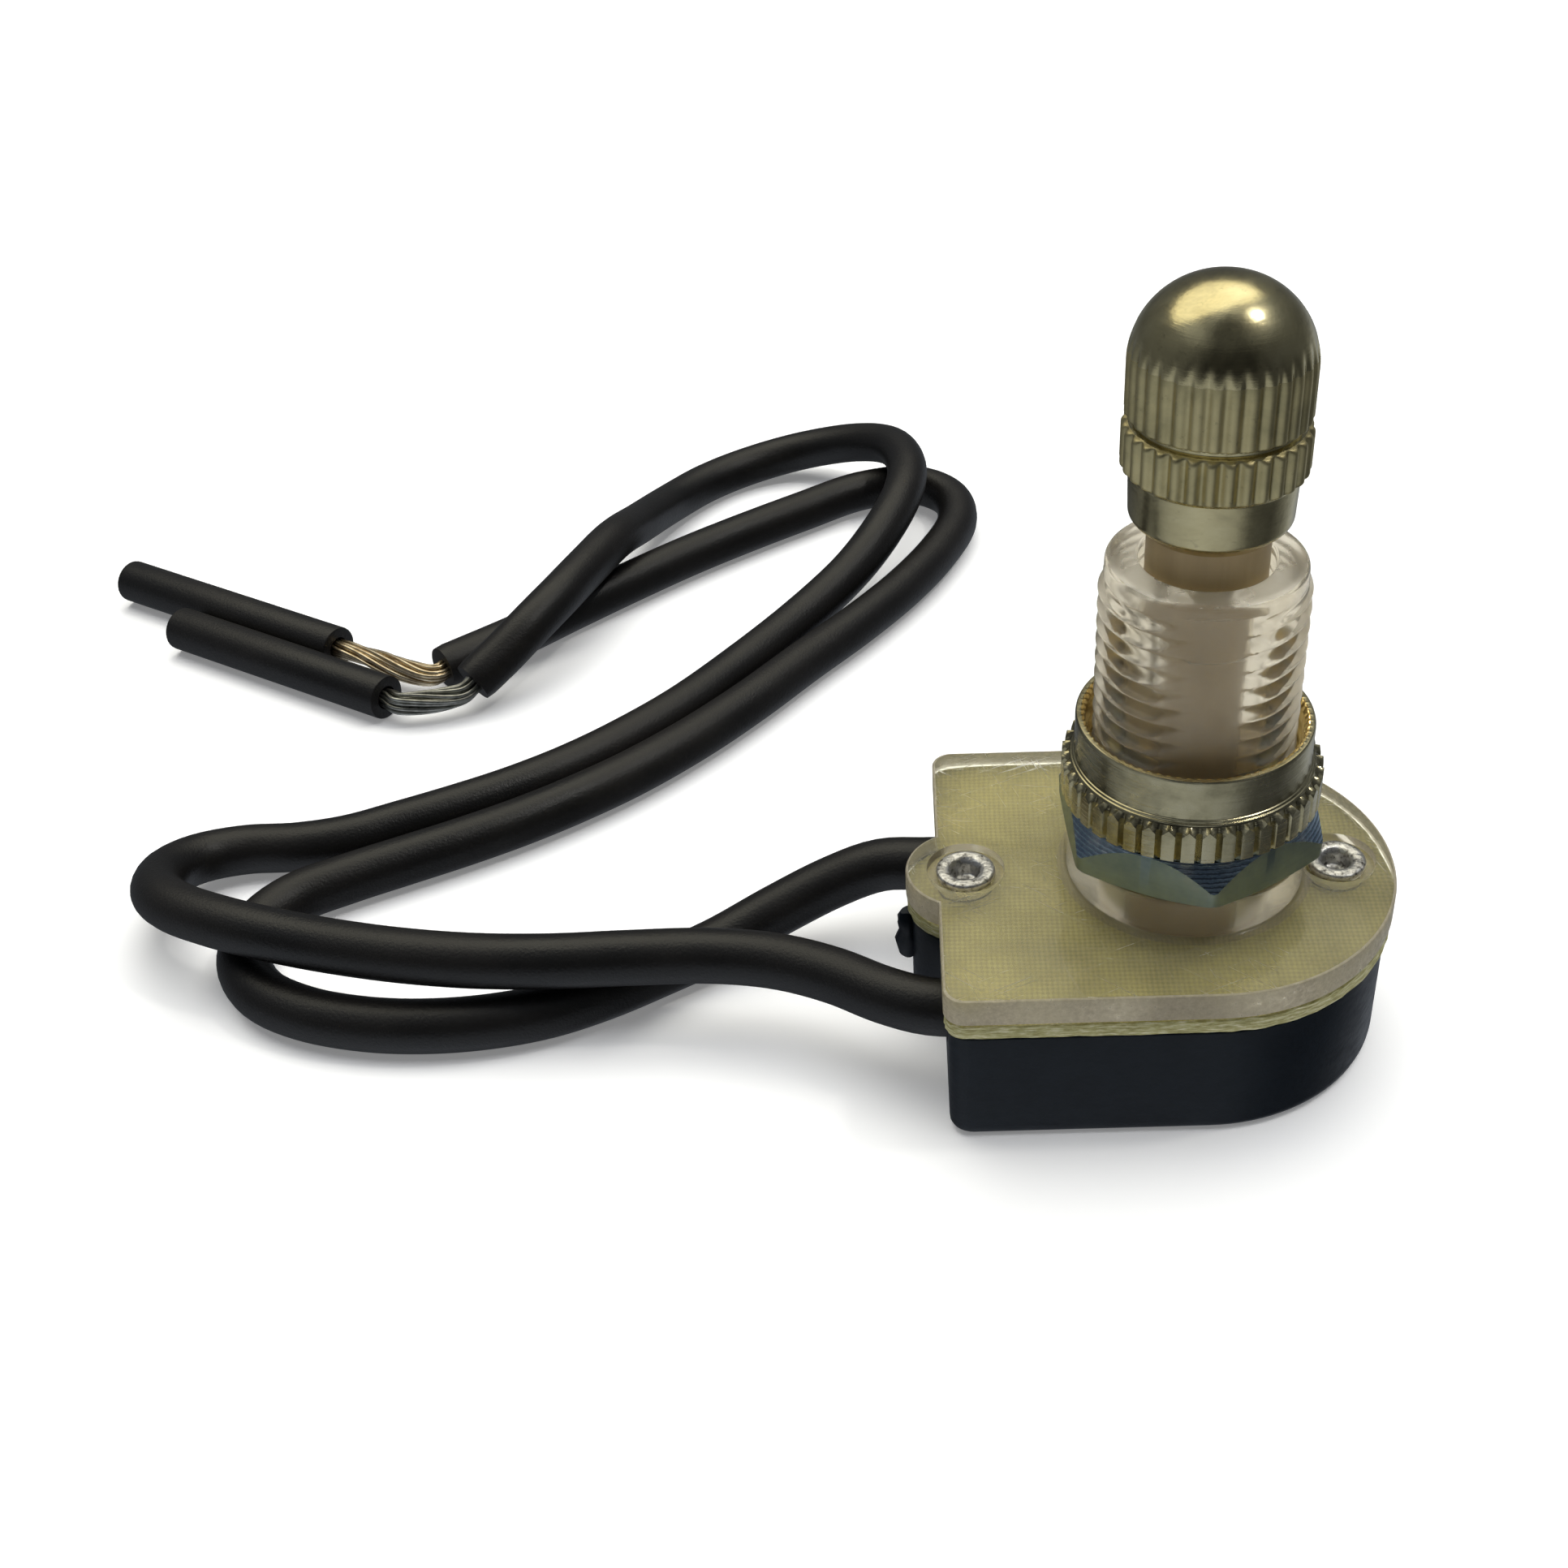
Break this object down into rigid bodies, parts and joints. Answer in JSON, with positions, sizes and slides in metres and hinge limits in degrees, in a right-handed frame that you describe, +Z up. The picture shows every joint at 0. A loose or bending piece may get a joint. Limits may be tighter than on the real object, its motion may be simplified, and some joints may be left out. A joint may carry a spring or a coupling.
{
  "type": "rotary lamp switch",
  "caption": "Turn-knob lamp switch with a D-shaped housing, clear threaded bushing, jam nut, knurled ring nut, brass knob and black wire leads ending in loose insulation slugs",
  "frame": {"origin": "on the housing's flat bottom face, on the knob shaft's axis", "axes": "+Z up the shaft towards the knob; +X towards the housing's half-round end; -Y towards the front; the leads leave at -X"},
  "size_m": [0.0797, 0.072, 0.0404],
  "materials": {
    "black_phenolic": "moulded black phenolic, semi-gloss",
    "glass_epoxy": "greenish-yellow glass-epoxy sheet with punched edges",
    "clear_plastic": "clear moulded plastic, polished",
    "nickel": "nickel-plated, rolled edge",
    "blue_zinc": "blue-passivated zinc on turned steel",
    "brass": "turned brass, lightly tarnished",
    "ivory_plastic": "tan moulded plastic",
    "drum_plastic": "off-white moulded plastic",
    "contact_brass": "stamped spring brass",
    "tinned_copper": "twisted tinned copper strands",
    "black_pvc": "matte black extruded PVC"
  },
  "bodies": {
    "housing": {"base_housing": "black_phenolic", "insulator_sheet": "glass_epoxy", "bushing_cover": "clear_plastic", "rivet_left": "nickel", "rivet_right": "nickel", "contact_spring_front": "contact_brass", "contact_spring_back": "contact_brass", "crimp_front": "contact_brass", "crimp_back": "contact_brass", "core_front": "tinned_copper", "core_back": "tinned_copper", "wire_front": "black_pvc", "wire_back": "black_pvc", "strands_front": "tinned_copper", "strands_back": "tinned_copper", "slug_front": "black_pvc", "slug_back": "black_pvc"},
    "rotor": {"shaft": "ivory_plastic", "knob": "brass", "rotor_drum": "drum_plastic", "bridge_contact": "contact_brass"},
    "hex_nut": {"hex_nut": "blue_zinc"},
    "ring_nut": {"ring_nut": "brass"}
  },
  "joints": [
    {"name": "knob_turn", "type": "hinge", "parent": "housing", "child": "rotor", "pos_m": [0, 0, 0.0352], "axis": [0, 0, 1], "continuous": true},
    {"name": "hex_nut_travel", "type": "slide", "parent": "housing", "child": "hex_nut", "axis": [0, 0, 1], "range_m": [0, 0.0047]},
    {"name": "ring_nut_travel", "type": "slide", "parent": "hex_nut", "child": "ring_nut", "axis": [0, 0, 1], "range_m": [0, 0.00658]}
  ]
}
